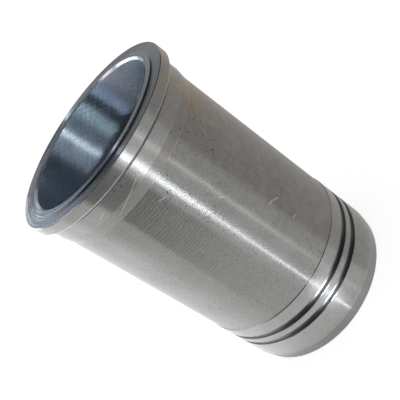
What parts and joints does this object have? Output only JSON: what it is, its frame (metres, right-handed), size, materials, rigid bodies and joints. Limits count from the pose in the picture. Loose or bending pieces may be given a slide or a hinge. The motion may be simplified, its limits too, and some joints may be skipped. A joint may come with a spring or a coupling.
{
  "type": "cylinder liner",
  "caption": "Flanged wet cylinder liner: a turned iron sleeve with a raised fire ring, a seating flange, upper and lower pilots and round seal grooves near the lower end.",
  "frame": {"origin": "centre of the lower end face, on the bore's axis", "axes": "+Z along the bore's axis, towards the flange; X and Y are any pair across it, because the part is turned"},
  "size_m": [0.135, 0.135, 0.2062],
  "materials": {
    "turned_iron": "fine turned"
  },
  "bodies": {
    "root": {"cylinder_liner": "turned_iron"}
  },
  "joints": []
}
